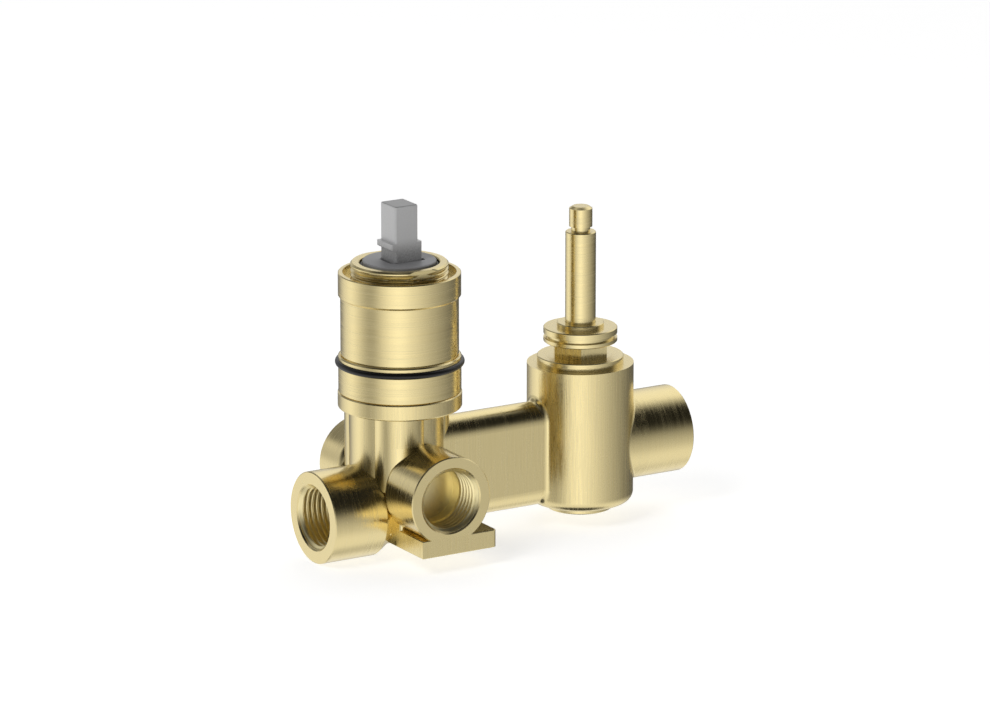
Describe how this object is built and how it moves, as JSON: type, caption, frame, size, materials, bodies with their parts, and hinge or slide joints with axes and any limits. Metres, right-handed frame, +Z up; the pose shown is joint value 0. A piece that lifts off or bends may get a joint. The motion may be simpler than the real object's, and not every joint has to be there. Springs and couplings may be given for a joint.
{
  "type": "concealed shower mixer and diverter valve body",
  "caption": "In-wall brass shower valve: threaded inlets and outlets round a lever mixing cartridge, joined by a flat bar to a tower with a pull-up diverter spindle.",
  "frame": {"origin": "on the mixing tower's axis, at the height of the foot plate's underside", "axes": "+X along the bar from the mixing tower to the diverter tower, -Y to the hot inlet, +Z up along lever and spindle, which is out of the wall when installed"},
  "size_m": [0.1359, 0.0599, 0.1148],
  "materials": {
    "cast_brass": "brushed pale gold brass casting",
    "turned_brass": "turned pale gold brass",
    "rubber": "black rubber",
    "dark_plastic": "black moulded plastic",
    "grey_plastic": "dark grey plastic",
    "pale_plastic": "natural plastic",
    "cast_zinc": "grey, slightly grainy zinc casting",
    "steel": "ground steel",
    "ceramic": "lapped white ceramic"
  },
  "bodies": {
    "valve": {"bonnet_seal": "rubber", "cartridge_base": "pale_plastic", "cartridge_housing": "dark_plastic", "cartridge_sleeve": "turned_brass", "cold_port_seal": "rubber", "cover_seal": "rubber", "disc_gasket": "rubber", "diverter_bonnet": "turned_brass", "fixed_ceramic_disc": "ceramic", "hot_port_seal": "rubber", "lower_spindle_seal": "rubber", "mixed_port_seal": "rubber", "retaining_nut": "turned_brass", "sleeve_seal": "rubber", "upper_spindle_seal": "rubber", "valve_body": "cast_brass"},
    "rotor": {"lever_guide": "grey_plastic", "lever_pin": "steel"},
    "lever": {"lever_stem": "cast_zinc"},
    "disc": {"disc_carrier": "pale_plastic", "moving_ceramic_disc": "ceramic"},
    "diverter": {"diverter_spindle": "turned_brass", "diverter_piston": "turned_brass", "upper_piston_seal": "rubber", "lower_piston_seal": "rubber", "seat_washer": "rubber", "piston_nut": "turned_brass"}
  },
  "joints": [
    {"name": "lever_turn", "type": "hinge", "parent": "valve", "child": "rotor", "pos_m": [0, 0, 0.087], "axis": [0, 0, 1], "range_deg": [-50, 50]},
    {"name": "lever_tilt", "type": "hinge", "parent": "rotor", "child": "lever", "pos_m": [0, 0, 0.087], "axis": [0, 1, 0], "range_deg": [0, 15]},
    {"name": "disc_slide", "type": "slide", "parent": "rotor", "child": "disc", "axis": [1, 0, 0], "range_m": [-0.0031, 0]},
    {"name": "diverter_pull", "type": "slide", "parent": "valve", "child": "diverter", "axis": [0, 0, 1], "range_m": [0, 0.006]}
  ],
  "couplings": [
    {"joint": "disc_slide", "follows": "lever_tilt", "m_per_rad": -0.0117}
  ]
}
